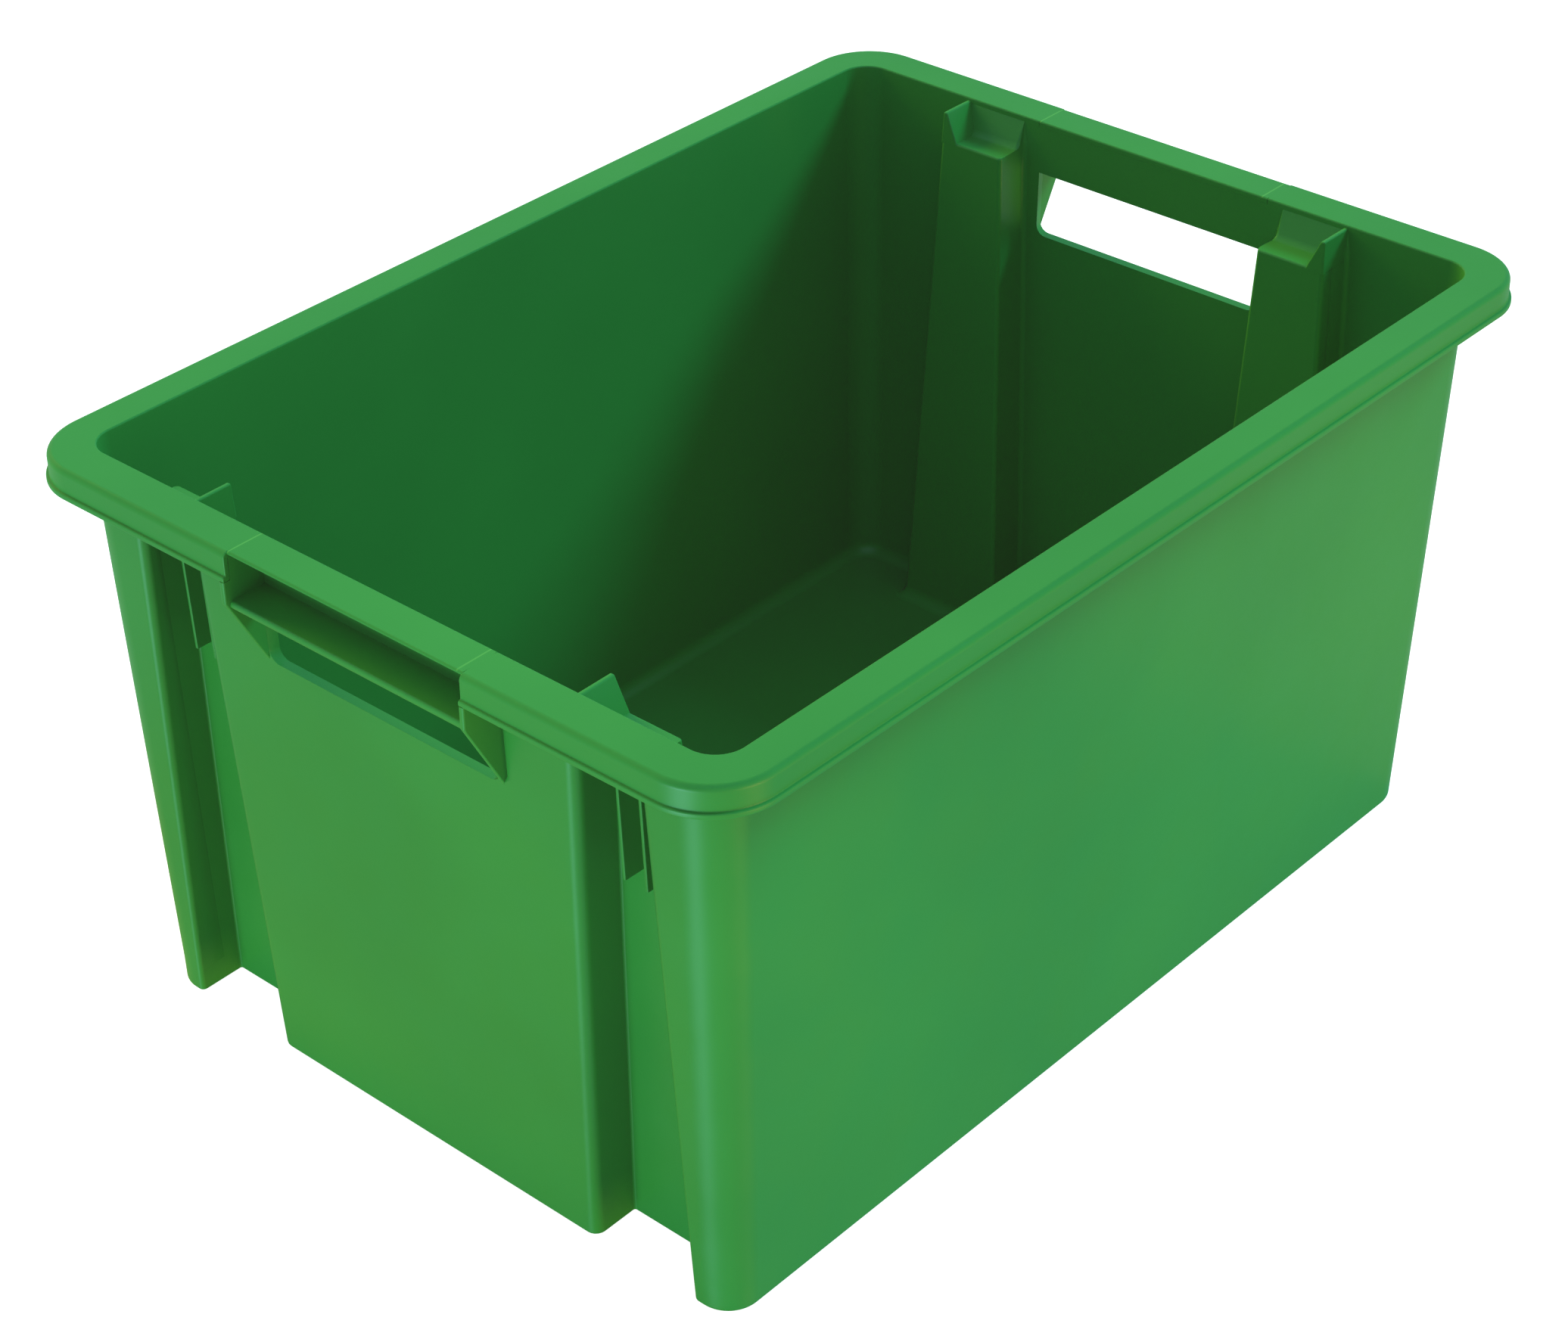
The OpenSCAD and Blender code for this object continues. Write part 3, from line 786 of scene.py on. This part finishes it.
def moulded_plastic(name):
    """Satin polypropylene: even colour with a faint drift, a painted highlight along the witness
    lines where the mould's inserts met, for the light their small step catches, fine grain,
    soft waviness."""
    mat = bpy.data.materials.new(name)
    mat.use_nodes = True
    nodes, links = mat.node_tree.nodes, mat.node_tree.links
    nodes.clear()
    out = nodes.new("ShaderNodeOutputMaterial")
    shader = nodes.new("ShaderNodeBsdfPrincipled")
    links.new(shader.outputs["BSDF"], out.inputs["Surface"])
    coords = nodes.new("ShaderNodeTexCoord")

    def noise(scale, detail, roughness=0.5):
        node = nodes.new("ShaderNodeTexNoise")
        node.inputs["Scale"].default_value = scale
        node.inputs["Detail"].default_value = detail
        node.inputs["Roughness"].default_value = roughness
        links.new(coords.outputs["Object"], node.inputs["Vector"])
        return node.outputs["Fac"]

    def remap(source, low, high, to_low, to_high):
        node = nodes.new("ShaderNodeMapRange")
        node.inputs["From Min"].default_value = low
        node.inputs["From Max"].default_value = high
        node.inputs["To Min"].default_value = to_low
        node.inputs["To Max"].default_value = to_high
        links.new(source, node.inputs["Value"])
        return node.outputs["Result"]

    def number(operation, a, b, c=0.0):
        node = nodes.new("ShaderNodeMath")
        node.operation = operation
        for socket, value in zip(node.inputs, (a, b, c)):
            if isinstance(value, float):
                socket.default_value = value
            else:
                links.new(value, socket)
        return node.outputs["Value"]

    def bump(height, strength, distance):
        node = nodes.new("ShaderNodeBump")
        node.inputs["Strength"].default_value = strength
        node.inputs["Distance"].default_value = distance
        links.new(height, node.inputs["Height"])
        return node

    tone = nodes.new("ShaderNodeMix")
    tone.data_type = "RGBA"
    tone.inputs["A"].default_value = GREEN_DARK
    tone.inputs["B"].default_value = GREEN_LIGHT
    links.new(remap(noise(4.0, 3.0), 0.35, 0.65, 0, 1), tone.inputs["Factor"])

    place_on = nodes.new("ShaderNodeSeparateXYZ")
    links.new(coords.outputs["Object"], place_on.inputs["Vector"])
    from_middle = number("ABSOLUTE", number("SUBTRACT", place_on.outputs["Y"], LINE_MIDDLE * MM), 0.0)
    in_line = number("COMPARE", from_middle, LINE_Y * MM, LINE_HALF * MM)
    on_top = number("GREATER_THAN", place_on.outputs["Z"], (HEIGHT - 0.6) * MM)
    # painted highlight: the rim's top is drawn paler along the witness lines, standing for the light
    # caught by each line's small step
    pale = nodes.new("ShaderNodeMix")
    pale.data_type = "RGBA"
    pale.inputs["B"].default_value = GREEN_LINE_HIGHLIGHT
    links.new(tone.outputs["Result"], pale.inputs["A"])
    on_line = number("MULTIPLY", in_line, on_top)
    links.new(number("MULTIPLY", on_line, LINE_HIGHLIGHT_BLEND), pale.inputs["Factor"])
    links.new(pale.outputs["Result"], shader.inputs["Base Color"])

    links.new(remap(noise(22.0, 6.0, 0.62), 0.3, 0.7, 0.30, 0.42), shader.inputs["Roughness"])
    grain = bump(noise(1400.0, 2.0), 0.10, 0.0002)
    wave = bump(noise(14.0, 2.0), 0.12, 0.002)
    links.new(grain.outputs["Normal"], wave.inputs["Normal"])
    links.new(wave.outputs["Normal"], shader.inputs["Normal"])
    shader.inputs["IOR"].default_value = 1.49
    shader.inputs["Emission Color"].default_value = GLOW_COLOUR
    shader.inputs["Emission Strength"].default_value = GLOW
    return mat


PLASTIC = moulded_plastic("green_polypropylene")

make_tray()
for side in (-1, 1):
    make_long_wall(side)
    make_side_rim(side)
for end in (-1, 1):
    make_panel(end)
    make_end_rim(end)
    make_shelf(end)
    for side in (-1, 1):
        make_column(end, side)
        make_post(end, side)
        make_ribs(end, side)
        make_fin(end, side)
        make_cheek(end, side)
        make_rim_corner(end, side)


# ---------------------------------------------------------------- floor, light, camera
FLOOR_HALF = 12.0                       # metres, past the camera's whole view
FLOOR_TONE = (0.42, 0.42, 0.42)
FLOOR_GLOW = 1.0
WORLD_COLOUR = (0.50, 1.0, 1.05, 1)
WORLD_STRENGTH = 0.42


def plain_material(name, colour, roughness):
    """An almost even colour with a slow drift."""
    mat = bpy.data.materials.new(name)
    mat.use_nodes = True
    shader = mat.node_tree.nodes["Principled BSDF"]
    noise = mat.node_tree.nodes.new("ShaderNodeTexNoise")
    noise.inputs["Scale"].default_value = 3.0
    tint = mat.node_tree.nodes.new("ShaderNodeMix")
    tint.data_type = "RGBA"
    tint.inputs["A"].default_value = (*[c * 0.985 for c in colour], 1)
    tint.inputs["B"].default_value = (*colour, 1)
    mat.node_tree.links.new(noise.outputs["Fac"], tint.inputs["Factor"])
    mat.node_tree.links.new(tint.outputs["Result"], shader.inputs["Base Color"])
    shader.inputs["Roughness"].default_value = roughness
    return mat


def make_stage():
    """A plain floor that the camera sees as white, and the light of the room."""
    mesh = bpy.data.meshes.new("studio_floor")
    half = FLOOR_HALF
    mesh.from_pydata([(-half, -half, 0), (half, -half, 0), (half, half, 0), (-half, half, 0)],
                     [], [(0, 1, 2, 3)])
    floor = bpy.data.objects.new("studio_floor", mesh)
    floor.location.z = cad_bounds[0][2] - 0.0002
    floor.visible_shadow = False        # lets the low soft lights stand for light off a pale table
    mat = plain_material("studio_white", FLOOR_TONE, 0.85)
    nodes, links = mat.node_tree.nodes, mat.node_tree.links
    shader = nodes["Principled BSDF"]
    shader.inputs["Emission Color"].default_value = (1, 1, 1, 1)
    path = nodes.new("ShaderNodeLightPath")
    glow = nodes.new("ShaderNodeMath")
    glow.operation = "MULTIPLY"
    glow.inputs[1].default_value = FLOOR_GLOW
    links.new(path.outputs["Is Camera Ray"], glow.inputs[0])
    links.new(glow.outputs["Value"], shader.inputs["Emission Strength"])
    mesh.materials.append(mat)
    bpy.context.scene.collection.objects.link(floor)
    world = bpy.data.worlds.new("studio")
    world.use_nodes = True
    background = world.node_tree.nodes["Background"]
    background.inputs["Color"].default_value = WORLD_COLOUR
    background.inputs["Strength"].default_value = WORLD_STRENGTH
    bpy.context.scene.world = world


def sun_light(name, azimuth, elevation, spread, strength, colour):
    """Broad even light from a direction, given as degrees from +X towards +Y."""
    data = bpy.data.lights.new(name, "SUN")
    data.angle = math.radians(spread)
    data.energy = strength
    data.color = colour
    lamp = bpy.data.objects.new(name, data)
    a, e = math.radians(azimuth), math.radians(elevation)
    towards = Vector((math.cos(a) * math.cos(e), math.sin(a) * math.cos(e), math.sin(e)))
    lamp.location = towards * 3
    lamp.rotation_euler = towards.to_track_quat("Z", "Y").to_euler()
    bpy.context.scene.collection.objects.link(lamp)
    return lamp


def make_camera():
    """Telephoto view from above the front right corner."""
    azimuth, elevation, roll = (math.radians(v) for v in (-46.81, 33.40, -1.54))
    back = Vector((math.sin(azimuth) * math.cos(elevation),
                   -math.cos(azimuth) * math.cos(elevation), math.sin(elevation)))
    data = bpy.data.cameras.new("camera")
    data.sensor_width = 36.0
    data.lens = 80.03
    data.shift_x = 0.0483
    data.shift_y = -0.0063
    data.clip_end = 100
    cam = bpy.data.objects.new("camera", data)
    cam.location = (-1.0939, -0.9600, 1.0968)
    turn = back.to_track_quat("Z", "Y").to_matrix()
    spin = turn @ Matrix.Rotation(roll, 3, "Z")
    cam.rotation_euler = spin.to_euler()
    bpy.context.scene.collection.objects.link(cam)
    bpy.context.scene.camera = cam


make_stage()

# The two lights below the horizon stand for light thrown up by the table.
sun_light("key_rear_right", -28, 40, 18, 1.9, (0.15, 1.0, 1.5)).visible_glossy = False
sun_light("soft_front", 181, -22, 30, 1.95, (0.40, 1.0, 0.85))
sun_light("soft_right", -82, -14, 30, 1.05, (1.15, 1.0, 0.22))
sun_light("soft_left", 88, 26, 30, 2.6, (1.55, 0.97, 0.15)).visible_glossy = False
make_camera()
bpy.context.scene.view_settings.view_transform = "Standard"
